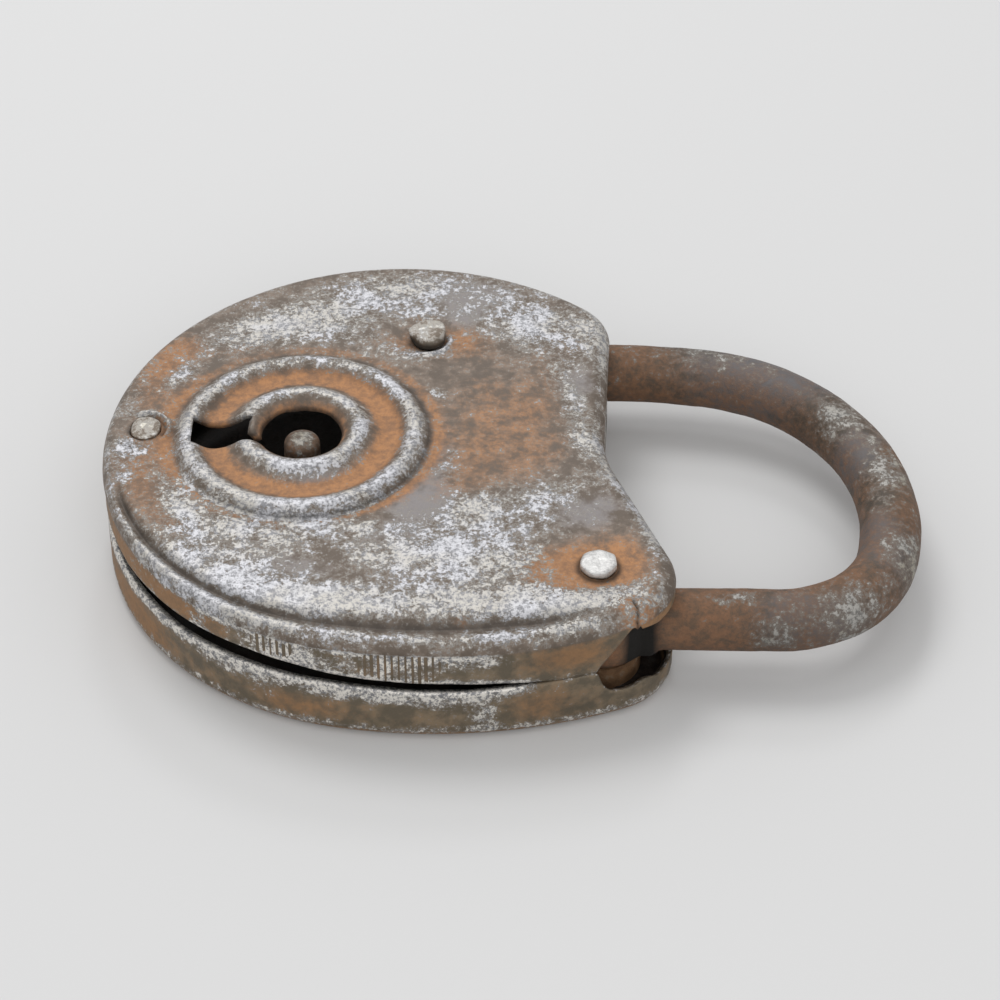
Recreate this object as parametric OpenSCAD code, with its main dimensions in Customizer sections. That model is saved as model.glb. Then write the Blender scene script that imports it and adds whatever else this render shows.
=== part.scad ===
// Round pressed-steel lever padlock lying on its back.
// Origin: on the flat back face, under the middle of the case.
// +X runs towards the shackle, +Y towards the shackle's free leg, +Z out of the front face.

/* [Case] */
// Radius of the round body over its walls
body_r = 39.8; // [39:0.1:44]
// Centre of the round body along X
body_x = -2.3; // [-3:0.1:-2]
// Thickness of the sheet steel of both shells
sheet_t = 1; // [0.8:0.1:1.2]
// Height of the back shell's rim above the back face
back_h = 8.4; // [8:0.1:10]
// Height of the front shell from its rim at the tail up to its face
front_h = 6.1; // [6:0.1:8]
// Parting gap between the two rims at the tail
gap_tail = 2.8; // [2.4:0.1:3]
// Parting gap between the two rims at the shackle
gap_shackle = 0.3; // [0.3:0.1:1]
// Radius of the rounded edge between wall and face
edge_r = 1.8; // [1.2:0.1:2]
// Radius of the lobe round the hinge rivet
near_lobe_r = 10; // [9.5:0.1:11]
// Radius of the corner where the free leg enters
far_lobe_r = 8.4; // [7.6:0.1:9]
// Place of the far corner's edge along X
far_lobe_x = 26.6; // [26:0.1:28]
// Radius of the long curve that joins the body to the hinge lobe
flank_r = 67; // [60:1:75]
// Place of the waist's deepest point along X
waist_x = 25.6; // [25:0.1:26.5]
// Radius of the hollow waist
waist_r = 19.2; // [18:0.2:21]
// Place of the waist's deepest point along Y
waist_y = 1.5; // [-1:0.5:3]

/* [Shackle] */
// Diameter of the shackle's round bar
wire_d = 8.3; // [7:0.1:9]
// Height of the bar's centre above the back face
wire_z = 8.3; // [8:0.1:8.5]
// How far inside the round body's edge the hinge rivet sits
pivot_inset = 2.53; // [2:0.01:3.5]
// Direction of the hinge rivet from the body's centre
pivot_angle = -44.03; // [-46:0.01:-43]
// Straight length of the hinged leg from the rivet to the bow
leg_len = 23.6; // [20:0.2:30]
// Centre-line radius of the tight bend beside the hinged leg
bow_near_r = 15.4; // [12:0.2:18]
// Centre-line radius of the bend beside the free leg
bow_far_r = 26.9; // [22:0.5:30]
// Centre-line radius of the free leg's slow curve
bow_shank_r = 75; // [60:1:90]
// How far the free leg lies beyond the far corner's centre
toe_offset = 2; // [1.6:0.05:2.5]
// Place of the free leg's tip along X
toe_end_x = 7; // [6.5:0.1:8]
// Thickness of the flattened heel round the rivet
heel_t = 7.6; // [6:0.1:8]
// Radius of the flattened heel round the rivet
heel_r = 6.8; // [6:0.1:7.4]
// How far the shackle swings open, in degrees
swing = 66; // [50:1:66]

/* [Keyhole] */
// Centre of the keyhole along X
key_x = -15.3; // [-16.5:0.1:-15]
// Centre of the keyhole along Y
key_y = 0.2; // [-1:0.1:1]
// Radius of the keyhole's round part
hole_r = 5.4; // [4.8:0.1:5.8]
// Reach of the keyhole's slot from its centre
slot_reach = 14.7; // [13.8:0.1:15.2]
// Width of the slot for the key's bit
slot_w = 5.5; // [4.6:0.1:6]
// Width of the narrow neck between the slot and the round part
neck_w = 2.4; // [2:0.1:3]
// Centre-line radius of the outer pressed ring
ring_outer_r = 15.3; // [15:0.1:16]
// Centre-line radius of the inner pressed ring
ring_inner_r = 7.8; // [7.6:0.1:8.4]
// Height of the outer ring above the face
ring_outer_h = 1.1; // [0.6:0.1:1.3]
// Height of the inner ring above the face
ring_inner_h = 1.6; // [1:0.1:1.8]
// Radius of the drill pin
pin_r = 2.5; // [2:0.1:2.8]

/* [Rivets] */
// Radius of each rivet's shank
rivet_r = 2; // [1.6:0.1:2]
// Radius of each rivet's hammered head
rivet_head_r = 2.5; // [2.3:0.1:2.8]
// Place of the side rivet along X
side_rivet_x = 1; // [0:0.5:1.5]
// How far inside the free leg's line the side rivet sits
side_rivet_drop = 4.3; // [4:0.1:5]
// How far inside the round body's edge the tail rivet sits
tail_inset = 5.7; // [5.2:0.1:6]
// Radius of the spacer sleeve on the side rivet
sleeve_r = 3.2; // [2.8:0.1:3.3]

/* [Lock] */
// Thickness of the bolt
bolt_t = 3; // [2.4:0.1:3.4]
// Travel of the bolt
bolt_travel = 5; // [4.8:0.1:5.2]
// Radius that the key's bit sweeps
key_sweep_r = 13.5; // [13:0.1:13.6]
// Thickness of each lever
lever_t = 1.2; // [1:0.05:1.3]
// Gap between levers
lever_gap = 0.2; // [0.1:0.02:0.3]
// How far each lever drops from the gate, in degrees, from the back lever to the front one
lever_drops = [5, 4, 4.5, 3.5];
// Distance of the lever post from the keyhole's centre, along X
post_dx = 18.3; // [18:0.1:19]
// Distance of the lever post below the keyhole's centre, along Y
post_dy = 25.2; // [25:0.1:26]

/* [Hidden] */
$fn = 64;

// Clearances
fixed_gap = 0.02;   // radial gap round a riveted pin
turn_gap = 0.06;    // radial gap of a turning fit
slide_gap = 0.1;    // gap of a sliding fit, on each side
wire_gap = 0.7;     // gap between the bar and the openings it swings through
cut = 1;            // how far a cutter runs past a surface

// Levels
face_z = back_h + gap_tail + front_h;
under_z = face_z - sheet_t;
wire_r = wire_d / 2;

// Plan positions
body_c = [body_x, 0];
pivot = body_c + (body_r - pivot_inset) * [cos(pivot_angle), sin(pivot_angle)];
far_x = far_lobe_x - far_lobe_r;
far_lobe = [far_x, sqrt(pow(body_r - far_lobe_r, 2) - pow(far_x - body_x, 2))];
waist = [waist_x + waist_r, waist_y];
key = [key_x, key_y];
tail = [body_x - body_r + tail_inset, 1];
toe_y = far_lobe[1] + toe_offset;
side = [side_rivet_x, toe_y - side_rivet_drop];
post = key + [post_dx, -post_dy];

// Outline of the case: angles at which its arcs meet
far_a = atan2(far_lobe[1], far_lobe[0] - body_x);
pivot_far = norm(pivot - body_c);
flank_c_len = flank_r - body_r;
flank_c_side = flank_r - near_lobe_r;
flank_turn = acos((pow(flank_c_len, 2) + pow(pivot_far, 2) - pow(flank_c_side, 2))
                  / (2 * flank_c_len * pivot_far));
flank_a = pivot_angle + flank_turn;
flank_c = body_c + flank_c_len * [cos(flank_a), sin(flank_a)];
flank_end_a = atan2(pivot[1] - flank_c[1], pivot[0] - flank_c[0]);
near_span = pivot - waist;
near_tan_a = atan2(near_span[1], near_span[0]) + 360
             - acos((waist_r + near_lobe_r) / norm(near_span));
far_span = far_lobe - waist;
far_tan_a = atan2(far_span[1], far_span[0]) + acos((waist_r + far_lobe_r) / norm(far_span));
arc_step = 5;       // degrees between points of an outline's arc
edge_steps = 2;     // narrow steps that round an edge

// Shackle bow: each bend's turn and radius, from the hinged leg to the free leg
bow_turns = [74, 58, 38, 10];
bow_heads = [0, 74, 132, 170, 180];
bow_others = bow_near_r * rise(0) + bow_far_r * rise(2) + bow_shank_r * rise(3);
bow_crown_r = (toe_y - pivot[1] - bow_others) / rise(1);
bow_radii = [bow_near_r, bow_crown_r, bow_far_r, bow_shank_r];
bow_start = pivot + [leg_len, 0];
toe_sweep_r = toe_y - pivot[1] + wire_r + slide_gap;   // the free tip is trimmed to this arc
toe_lift = 1.6;     // how far the leg rises in its opening while the tip leaves
toe_mouth_x = far_lobe[0] - 6;   // the free leg's opening is cut from here outwards
heel_reach = 7.6;   // length of the flattened part beyond the rivet
seam_l = 1;         // sleeves that join the bow's bends
seam_h = 0.05;

// Opening for the hinged leg, from the end wall round to the side wall
leg_cut_r = wire_r + wire_gap;
mouth_r = 6.6;      // the front shell's wall is cut back further than the back shell's
mouth_a = -53;
mouth_h = 6.4;
band_in = 7.2;      // inner and outer radius of the cut band round the rivet
band_out = near_lobe_r + 4;
band_a = 22;        // where the band ends on the waist side

// Pressed rings
ring_press_r = 2.2; // radius of the ridge's section
ring_wall = 0.8;    // sheet left in the ridge
funnel_lip = 0.9;   // how far the inner ring turns down round the hole
crater_r = 3.3;     // raised, torn sheet round the tail rivet
crater_h = 0.7;
slot_low = 3.1;     // the slot's near edge lies this far below the keyhole's centre
neck_l = 1.2;       // length of the narrow neck beside the round part

// Rivets
head_edge = 0.4;    // worn edge of a rivet's head
head_gap = 0.2;     // gap between the tail rivet's head and the torn sheet round it
pivot_head_h = 1.2;
side_head_h = 2;
tail_head_h = 1;
tail_sink = 0.3;    // how far the tail rivet's head is sunk in the face
tail_wall = 0.8;    // wall of the tail rivet's slim sleeve
pin_drop = 0.3;     // the drill pin's tip lies this far below the face
collar_r = heel_r - 1;
ward_r = 9.6;
ward_t = 1;
ward_h = 2;

// Bolt
bolt_z = wire_z - bolt_t / 2;
nose_w = 5;
nose_x = 11;
nose_gap = 1.2;     // gap between the drawn nose and the free leg
nose_y = toe_y - wire_r - nose_gap;
notch_gap = 0.6;    // room on each side of the nose in the leg's notch
notch_end_gap = 0.45;   // from the thrown nose to the notch's floor
notch_y = nose_y + bolt_travel + notch_end_gap;
talon_x = key_x + key_sweep_r + 2.8;   // floor of the talon that the key's bit enters
horn_l = 5;
horn_w = 3.5;
horn_ys = [key_y - 9.2, key_y + 2.8];
plate_top = key_y + 8;
plate_edge = 1.5;   // metal left round the guide slots
bolt_right = nose_x + nose_w + 0.5;
guide_r = 1.5;
guide_base_r = 2.6;
guide_x = 12.5;
guide_ys = [key_y - 10.2, key_y + 8.8];
stump_w = 2.4;
stump_pin_r = 0.9;  // the stump's tenon through the bolt
stump_l = 2;
stump = [8.5, key_y - 4.7];

// Levers
lever_z0 = bolt_z + bolt_t + lever_gap;
lever_pitch = lever_t + lever_gap;
lever_count = len(lever_drops);
lever_top = lever_z0 + lever_count * lever_pitch;
post_r = 1.75;
post_base_r = 3.2;
boss_r = 4.5;
window_gap = 0.35;
bar_gap = 0.75;     // from the drawn stump to the bar that blocks it
bar_t = 1.5;
leaf_t = 0.4;       // thickness of the leaf springs
leaf_root = post + [9.4, 9];
leaf_root_l = 4.5;
leaf_end_a = 96;    // direction of a leaf's tip from the centre of its bow
leaf_lean = 0.33;   // the waist's wall curves away by this much at the leaf's tip
leaf_r = (waist_x - sheet_t + leaf_lean - leaf_root[0]) / (1 + cos(leaf_end_a));
leaf_end_gap = 0.1;
// Corners of a lever's arm from its post, round from the boss
lever_corners = [[-boss_r, 0], [2, -4], [11, 2.5], [11, 9.2], [8.7, 9.6], [8.7, 14.5],
                 [10.6, 17.5], [10.6, 31], [3, 33.5], [-7, 32.4], [-7, 17.5]];

// Sine and cosine run of the bow's bend number i, for a radius of one
function rise(i) = cos(bow_heads[i]) - cos(bow_heads[i + 1]);
function run(i) = sin(bow_heads[i + 1]) - sin(bow_heads[i]);
// Point where the bow's bend number i starts
function bow_at(i) =
    i == 0 ? bow_start : bow_at(i - 1) + bow_radii[i - 1] * [run(i - 1), rise(i - 1)];
// Points of an arc round centre c from angle a to angle b
function arc(c, r, a, b) =
    let (n = ceil(abs(b - a) / arc_step))
    [for (i = [0:n]) c + r * [cos(a + (b - a) * i / n), sin(a + (b - a) * i / n)]];
// Outline of the case, moved inwards by inset
function outline(inset) = concat(
    arc(body_c, body_r - inset, far_a, flank_a + 180),
    arc(flank_c, flank_r - inset, flank_a + 180 + arc_step, flank_end_a + 360 - arc_step),
    arc(pivot, near_lobe_r - inset, flank_end_a + 360, near_tan_a + 180),
    arc(waist, waist_r + inset, near_tan_a, far_tan_a),
    arc(far_lobe, far_lobe_r - inset, far_tan_a - 180, far_a - arc_step));

// Colours
rust_steel = [0.47, 0.42, 0.36];
dark_steel = [0.36, 0.32, 0.28];
worn_steel = [0.68, 0.66, 0.62];

// One layer of the case between two levels
module layer(z0, z1, inset) {
    translate([0, 0, z0]) linear_extrude(z1 - z0) polygon(outline(inset));
}

// A solid of the case's outline, flat at level 0 and rounded there
module rounded_block(h, inset, r) {
    for (k = [0:edge_steps - 1])
        layer(r * (1 - cos(90 * k / edge_steps)), h,
              inset + r * (1 - sin(90 * (k + 0.5) / edge_steps)));
    layer(r, h, inset);
}

// A pressed pan with its floor at level 0 and open above
module pan(h) {
    difference() {
        rounded_block(h, 0, edge_r);
        translate([0, 0, sheet_t]) rounded_block(h, sheet_t, edge_r - sheet_t);
    }
}

// A cutter along the bar of radius r, outwards from the rivet in direction a
module leg_cutter(r, a) {
    translate([pivot[0], pivot[1], wire_z]) rotate([0, 0, a]) rotate([0, 90, 0])
        translate([0, 0, band_in - 1]) cylinder(r = r, h = band_out - band_in + 1);
}

// A band cut round the rivet, from direction a to direction b, between two levels
module band_cutter(a, b, z0, z1) {
    translate([pivot[0], pivot[1], z0]) rotate([0, 0, a]) rotate_extrude(angle = b - a)
        translate([band_in, 0]) square([band_out - band_in, z1 - z0]);
}

// Openings for both legs of the shackle
module leg_openings() {
    leg_cutter(leg_cut_r, 0);
    leg_cutter(leg_cut_r, -swing);
    band_cutter(-swing, band_a, wire_z - leg_cut_r + 0.3, wire_z + leg_cut_r - 0.3);
    for (dy = [0, toe_lift])
        translate([toe_mouth_x, toe_y + dy, wire_z]) rotate([0, 90, 0])
            cylinder(r = leg_cut_r, h = body_r);
}

// The wider mouth in the front shell's wall
module front_mouth() {
    leg_cutter(mouth_r, mouth_a);
    band_cutter(mouth_a, band_a - 4, wire_z, wire_z + mouth_h);
}

// Straight hole at a plan position
module drill(at, r, z0, z1) {
    translate([at[0], at[1], z0]) cylinder(r = r, h = z1 - z0);
}

module back_shell() {
    color(rust_steel) difference() {
        pan(back_h);
        leg_openings();
        for (p = [pivot, side, tail])
            drill(p, rivet_r + fixed_gap, -cut, sheet_t + cut);
        drill(key, pin_r + fixed_gap, -cut, sheet_t + cut);
        drill(post, post_r + fixed_gap, -cut, sheet_t + cut);
        for (y = guide_ys)
            drill([guide_x, y], guide_r + fixed_gap, -cut, sheet_t + cut);
    }
}

// A ring pressed up from the face
module ring_ridge(r, h) {
    translate([key[0], key[1], face_z]) rotate_extrude()
        intersection() {
            translate([r, h - ring_press_r]) circle(r = ring_press_r);
            translate([r - ring_press_r, -sheet_t / 2]) square(2 * ring_press_r);
        }
}

// Hollow under a pressed ring
module ring_hollow(r, h) {
    translate([key[0], key[1], face_z]) rotate_extrude()
        translate([r, h - ring_press_r]) circle(r = ring_press_r - ring_wall);
}

// The rim rises towards the tail, where the shells have been forced apart
module rim_cutter() {
    tail_x = body_x - body_r;
    tilt = atan((gap_tail - gap_shackle) / (far_lobe_x - tail_x));
    translate([tail_x, 0, back_h + gap_tail]) rotate([0, tilt, 0])
        translate([-body_r, -2 * body_r, -2 * body_r]) cube([6 * body_r, 4 * body_r, 2 * body_r]);
}

module keyhole_cutter() {
    z0 = under_z - cut;
    h = sheet_t + ring_inner_h + 2 * cut;
    drill(key, hole_r, z0, z0 + h);
    translate([key[0] - slot_reach, key[1] - slot_low, z0])
        cube([slot_reach - hole_r - neck_l, slot_w, h]);
    translate([key[0] - slot_reach, key[1] - slot_low, z0])
        cube([slot_reach - hole_r / 2, neck_w, h]);
}

module front_shell() {
    color(rust_steel) difference() {
        union() {
            translate([0, 0, face_z]) mirror([0, 0, 1]) pan(face_z - back_h);
            ring_ridge(ring_outer_r, ring_outer_h);
            ring_ridge(ring_inner_r, ring_inner_h);
            drill(tail, crater_r, face_z - sheet_t / 2, face_z + crater_h);
        }
        ring_hollow(ring_outer_r, ring_outer_h);
        ring_hollow(ring_inner_r, ring_inner_h);
        rim_cutter();
        leg_openings();
        front_mouth();
        keyhole_cutter();
        for (p = [pivot, side])
            drill(p, rivet_r + turn_gap, under_z - cut, face_z + cut);
        drill(tail, rivet_r + turn_gap, under_z - cut, face_z + 2 * cut);
        drill(tail, rivet_head_r + head_gap, face_z - tail_sink, face_z + 2 * cut);
    }
}

// One bend of the bow
module bend(i) {
    at = bow_at(i);
    head = bow_heads[i];
    centre = at + bow_radii[i] * [-sin(head), cos(head)];
    translate([centre[0], centre[1], wire_z]) rotate([0, 0, head - 90])
        rotate_extrude(angle = bow_turns[i]) translate([bow_radii[i], 0]) circle(r = wire_r);
}

// A short sleeve that joins two lengths of the bar, hardly thicker than the bar
module seam(i) {
    at = bow_at(i);
    translate([at[0], at[1], wire_z]) rotate([0, 0, bow_heads[i]]) rotate([0, 90, 0])
        translate([0, 0, -seam_l / 2]) cylinder(r = wire_r + seam_h, h = seam_l);
}

// A straight length of the bar along +X
module bar(from, length) {
    translate([from[0], from[1], wire_z]) rotate([0, 90, 0]) cylinder(r = wire_r, h = length);
}

module shackle() {
    toe_start = [toe_end_x, toe_y];
    color(dark_steel) difference() {
        union() {
            bar(pivot + [1, 0], leg_len - 1);
            for (i = [0:3]) bend(i);
            for (i = [0:4]) seam(i);
            bar(toe_start, bow_at(4)[0] - toe_end_x);
            drill(pivot, heel_r, wire_z - wire_r, wire_z + wire_r);
        }
        // Flats above and below the heel
        for (s = [-1, 1])
            translate([pivot[0] - 2 * heel_r, pivot[1] - 2 * heel_r,
                       wire_z + s * (heel_t / 2 + wire_r) - wire_r])
                cube([2 * heel_r + heel_reach, 4 * heel_r, wire_d]);
        drill(pivot, rivet_r + turn_gap, 0, face_z);
        // Notch that the bolt's nose enters
        translate([nose_x - notch_gap, notch_y - wire_d, wire_z - wire_d])
            cube([nose_w + 2 * notch_gap, wire_d, 2 * wire_d]);
        // The free tip clears its opening as it swings out
        translate([pivot[0], pivot[1], 0]) difference() {
            translate([-toe_sweep_r, 0, 0]) cube([toe_sweep_r, 2 * toe_sweep_r, face_z]);
            translate([0, 0, -cut]) cylinder(r = toe_sweep_r, h = face_z + 2 * cut);
        }
    }
}

// A rivet from the back face up to a hammered head
module rivet(at, head_h, seat) {
    translate([at[0], at[1], 0]) {
        cylinder(r = rivet_r, h = seat + head_h / 2);
        translate([0, 0, seat]) rotate_extrude()
            polygon([[0, 0], [rivet_head_r, 0], [rivet_head_r, head_h - head_edge],
                     [rivet_head_r - head_edge, head_h], [0, head_h]]);
    }
}

module pivot_rivet() { color(worn_steel) rivet(pivot, pivot_head_h, face_z); }
module side_rivet() { color(worn_steel) rivet(side, side_head_h, face_z); }
module tail_rivet() { color(worn_steel) rivet(tail, tail_head_h, face_z - tail_sink); }

module drill_pin() {
    tip_z = face_z - pin_drop;
    dome_r = pin_r + pin_drop;
    color(rust_steel) translate([key[0], key[1], 0]) intersection() {
        cylinder(r = pin_r, h = tip_z);
        union() {
            cylinder(r = pin_r + cut, h = tip_z - dome_r);
            translate([0, 0, tip_z - dome_r]) sphere(r = dome_r);
        }
    }
}

// A tube between two levels round a plan position
module tube(at, r, hole, z0, z1) {
    difference() {
        drill(at, r, z0, z1);
        drill(at, hole, z0 - cut, z1 + cut);
    }
}

module side_sleeve() {
    color(dark_steel) tube(side, sleeve_r, rivet_r + turn_gap, sheet_t, under_z);
}
module tail_sleeve() {
    color(dark_steel) tube(tail, rivet_r + tail_wall, rivet_r + turn_gap, sheet_t, under_z);
}
module heel_collar_back() {
    color(dark_steel)
        tube(pivot, collar_r, rivet_r + turn_gap, sheet_t, wire_z - heel_t / 2 - slide_gap);
}
module heel_collar_front() {
    color(dark_steel)
        tube(pivot, collar_r, rivet_r + turn_gap, wire_z + heel_t / 2 + slide_gap, under_z);
}
module ward_ring() {
    color(dark_steel) tube(key, ward_r, ward_r - ward_t, sheet_t, sheet_t + ward_h);
}

module bolt() {
    low_y = guide_ys[0] - bolt_travel - guide_r - plate_edge;
    high_y = guide_ys[1] + guide_r + plate_edge;
    color(dark_steel) translate([0, 0, bolt_z]) difference() {
        linear_extrude(bolt_t) difference() {
            union() {
                translate([talon_x, low_y]) square([bolt_right - talon_x, plate_top - low_y]);
                translate([nose_x - 2, key_y]) square([bolt_right - nose_x + 2, high_y - key_y]);
                translate([nose_x, key_y]) square([nose_w, nose_y - key_y]);
                // Horns that the key's bit pushes
                for (y = horn_ys) translate([talon_x - horn_l, y]) square([horn_l + 1, horn_w]);
            }
            for (y = guide_ys) hull()
                for (dy = [-bolt_travel, 0])
                    translate([guide_x, y + dy]) circle(r = guide_r + slide_gap, $fn = 32);
        }
        translate([stump[0], stump[1], -cut]) cylinder(r = stump_pin_r + fixed_gap, h = bolt_t + 2 * cut);
    }
}

module bolt_stump() {
    color(dark_steel) {
        translate([stump[0] - stump_w / 2, stump[1] - stump_l / 2, bolt_z + bolt_t])
            cube([stump_w, stump_l, lever_top - bolt_z - bolt_t]);
        drill(stump, stump_pin_r, bolt_z, bolt_z + bolt_t + cut);
    }
}

// A stepped post riveted into the back shell, with a base under what it carries
module stepped_post(at, base_r, r, step_z, top_z) {
    drill(at, r, 0, top_z);
    drill(at, base_r, sheet_t, step_z);
}

module guide_post_near() {
    color(dark_steel) stepped_post([guide_x, guide_ys[0]], guide_base_r, guide_r,
                                   bolt_z - slide_gap, bolt_z + bolt_t);
}
module guide_post_far() {
    color(dark_steel) stepped_post([guide_x, guide_ys[1]], guide_base_r, guide_r,
                                   bolt_z - slide_gap, bolt_z + bolt_t);
}
module lever_post() {
    color(dark_steel) stepped_post(post, post_base_r, post_r, lever_z0 - slide_gap, under_z);
}
module stack_washer() {
    color(dark_steel) tube(post, boss_r, post_r + turn_gap, lever_top, under_z - slide_gap);
}

// The opening in a lever for the stump: a pocket on each side of a bar, joined by a gate
module lever_window(drop) {
    x0 = stump[0] - stump_w / 2 - window_gap;
    shift = (stump[1] + bolt_travel - post[1]) * sin(drop);
    sink = (stump[0] - post[0]) * sin(drop);
    pocket_w = stump_w + 2 * window_gap + shift;
    low_y = stump[1] - stump_l / 2 - sink - window_gap - slide_gap;
    bar_y = stump[1] + stump_l / 2 + bar_gap;
    high_y = stump[1] + stump_l / 2 + bolt_travel + window_gap;
    translate([x0, low_y]) square([pocket_w, bar_y - low_y]);
    translate([x0, bar_y + bar_t]) square([pocket_w, high_y - bar_y - bar_t]);
    translate([x0, low_y]) square([stump_w + 2 * window_gap, high_y - low_y]);
}

// Outline of a lever, from its boss up to its belly beside the key
module lever_plate() {
    difference() {
        union() {
            translate(post) circle(r = boss_r);
            translate(post) polygon(lever_corners);
        }
        translate(key) circle(r = key_sweep_r + slide_gap);
        translate(post) circle(r = post_r + turn_gap);
        translate(leaf_root - [fixed_gap, leaf_root_l])
            square([leaf_t + 2 * fixed_gap, leaf_root_l + cut]);
    }
}

module lever(i) {
    color(worn_steel) translate([0, 0, lever_z0 + (i - 1) * lever_pitch])
        linear_extrude(lever_t) difference() {
            lever_plate();
            lever_window(lever_drops[i - 1]);
        }
}

// A leaf spring set in its lever, bowed out to the waist's wall
module lever_spring(i) {
    bow = leaf_root + [leaf_r, 0];
    root = leaf_root - [0, leaf_root_l - leaf_end_gap];
    color(dark_steel) translate([0, 0, lever_z0 + (i - 1) * lever_pitch]) linear_extrude(lever_t)
        polygon(concat([root], arc(bow, leaf_r, 180, leaf_end_a),
                       arc(bow, leaf_r - leaf_t, leaf_end_a, 180), [root + [leaf_t, 0]]));
}

module lever_1() { lever(1); }
module lever_2() { lever(2); }
module lever_3() { lever(3); }
module lever_4() { lever(4); }
module lever_spring_1() { lever_spring(1); }
module lever_spring_2() { lever_spring(2); }
module lever_spring_3() { lever_spring(3); }
module lever_spring_4() { lever_spring(4); }

back_shell();
front_shell();
shackle();
pivot_rivet();
side_rivet();
tail_rivet();
drill_pin();
side_sleeve();
tail_sleeve();
heel_collar_back();
heel_collar_front();
ward_ring();
bolt();
bolt_stump();
guide_post_near();
guide_post_far();
lever_post();
stack_washer();
lever_1();
lever_2();
lever_3();
lever_4();
lever_spring_1();
lever_spring_2();
lever_spring_3();
lever_spring_4();
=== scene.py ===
# Looks of a rusty round lever padlock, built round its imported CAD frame.
# Lengths are in millimetres here and turned into metres when a mesh is made.
import math
import bpy
import numpy as np
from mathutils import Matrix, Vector, noise
from mathutils.geometry import delaunay_2d_cdt


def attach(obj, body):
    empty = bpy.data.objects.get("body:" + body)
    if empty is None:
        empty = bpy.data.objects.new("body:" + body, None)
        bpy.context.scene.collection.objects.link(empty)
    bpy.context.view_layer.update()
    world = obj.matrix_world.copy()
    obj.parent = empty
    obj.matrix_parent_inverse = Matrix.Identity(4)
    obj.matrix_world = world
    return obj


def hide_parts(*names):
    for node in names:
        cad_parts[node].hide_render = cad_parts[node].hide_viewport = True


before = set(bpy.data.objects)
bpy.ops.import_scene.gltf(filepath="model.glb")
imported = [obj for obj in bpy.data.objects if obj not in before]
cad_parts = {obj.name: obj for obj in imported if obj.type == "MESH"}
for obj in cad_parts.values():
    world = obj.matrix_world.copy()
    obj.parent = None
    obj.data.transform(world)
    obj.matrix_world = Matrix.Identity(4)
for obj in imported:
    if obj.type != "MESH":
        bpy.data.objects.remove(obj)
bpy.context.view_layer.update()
MM = 0.001


def unit(a):
    """Unit vectors in directions given in degrees."""
    a = np.radians(a)
    return np.stack([np.cos(a), np.sin(a)], -1)


# ---------------------------------------------------------------- sizes, as in the CAD
BODY, BODY_R = np.array([-2.3, 0.0]), 39.8       # the round body
NEAR_R, FAR_R = 10.0, 8.4                        # lobes of the hinge and of the free leg
FLANK_R, WAIST_R = 67.0, 19.2                    # arcs from the body to the hinge's lobe, and between the lobes
FACE_Z = 17.3
WIRE_R, WIRE_Z = 4.15, 8.3                       # the shackle's bar and the level of its axis
KEY, HOLE_R = np.array([-15.3, 0.2]), 5.4        # the keyhole's round part
PIVOT = BODY + (BODY_R - 2.53) * unit(-44.03)    # the hinge rivet
FAR = np.array([18.2, math.sqrt((BODY_R - FAR_R) ** 2 - 20.5 ** 2)])
WAIST = np.array([25.6 + WAIST_R, 1.5])
TOE_Y = FAR[1] + 2                               # the free leg's axis
SIDE = np.array([1.0, TOE_Y - 4.3])              # the rivet beside the free leg
TAIL = np.array([-36.4, 1.0])                    # the rivet opposite the shackle
LEVER_POST = np.array([3.0, -25.0])
GUIDE_POSTS = [np.array([12.5, KEY[1] + dy]) for dy in (-10.2, 8.8)]
SHANK_R, HEAD_R = 2.0, 2.5                       # the rivets
SHEET_T = 0.95                                   # a little less than the CAD's, to stay inside it


def angle_of(v):
    return math.degrees(math.atan2(v[1], v[0]))


def outline(step):
    """Points along the case's outline and their outward directions."""
    far_a = angle_of(FAR - BODY)
    # The flank's middle, from a triangle with the body's middle and the hinge rivet
    q = PIVOT - BODY
    side_a, side_b, side_c = FLANK_R - BODY_R, np.linalg.norm(q), FLANK_R - NEAR_R
    turn = math.degrees(math.acos((side_a ** 2 + side_b ** 2 - side_c ** 2) / (2 * side_a * side_b)))
    flank_a = angle_of(q) + turn
    centre = BODY + side_a * unit(flank_a)
    flank_end = angle_of(PIVOT - centre) + 360
    # Where the straight stretches leave the waist
    n = PIVOT - WAIST
    near_t = angle_of(n) + 360 - math.degrees(math.acos((WAIST_R + NEAR_R) / np.linalg.norm(n)))
    f = FAR - WAIST
    far_t = angle_of(f) + math.degrees(math.acos((WAIST_R + FAR_R) / np.linalg.norm(f)))
    arcs = [(BODY, BODY_R, far_a, flank_a + 180, 1), (centre, FLANK_R, flank_a + 180, flank_end, 1),
            (PIVOT, NEAR_R, flank_end, near_t + 180, 1), (WAIST, WAIST_R, near_t, far_t, -1),
            (FAR, FAR_R, far_t - 180, far_a, 1)]
    pts, out = [], []
    for c, r, a, b, sign in arcs:
        k = max(2, int(math.ceil(r * math.radians(abs(b - a)) / step)))
        u = unit(a + (b - a) * np.arange(k) / k)
        pts.append(c + r * u)
        out.append(sign * u)
    line = np.concatenate([np.concatenate(pts), np.concatenate(out)], 1)
    # The straight stretches get points too
    even = []
    for p, q in zip(line, np.roll(line, -1, 0)):
        k = max(1, round(float(np.linalg.norm(q[:2] - p[:2])) / step))
        even.append(p + (q - p) * (np.arange(k) / k)[:, None])
    even = np.concatenate(even)
    return even[:, :2], even[:, 2:] / np.linalg.norm(even[:, 2:], axis=1)[:, None]


# ---------------------------------------------------------------- small helpers
def smooth(x, a, b):
    """A soft step from nought at a to one at b."""
    t = np.clip((np.asarray(x, float) - a) / (b - a), 0, 1)
    return t * t * (3 - 2 * t)


def ridge(x, at, width):
    """One where x is at a place, and falling off softly on both sides."""
    return np.exp(-((x - at) / width) ** 2)


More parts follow.
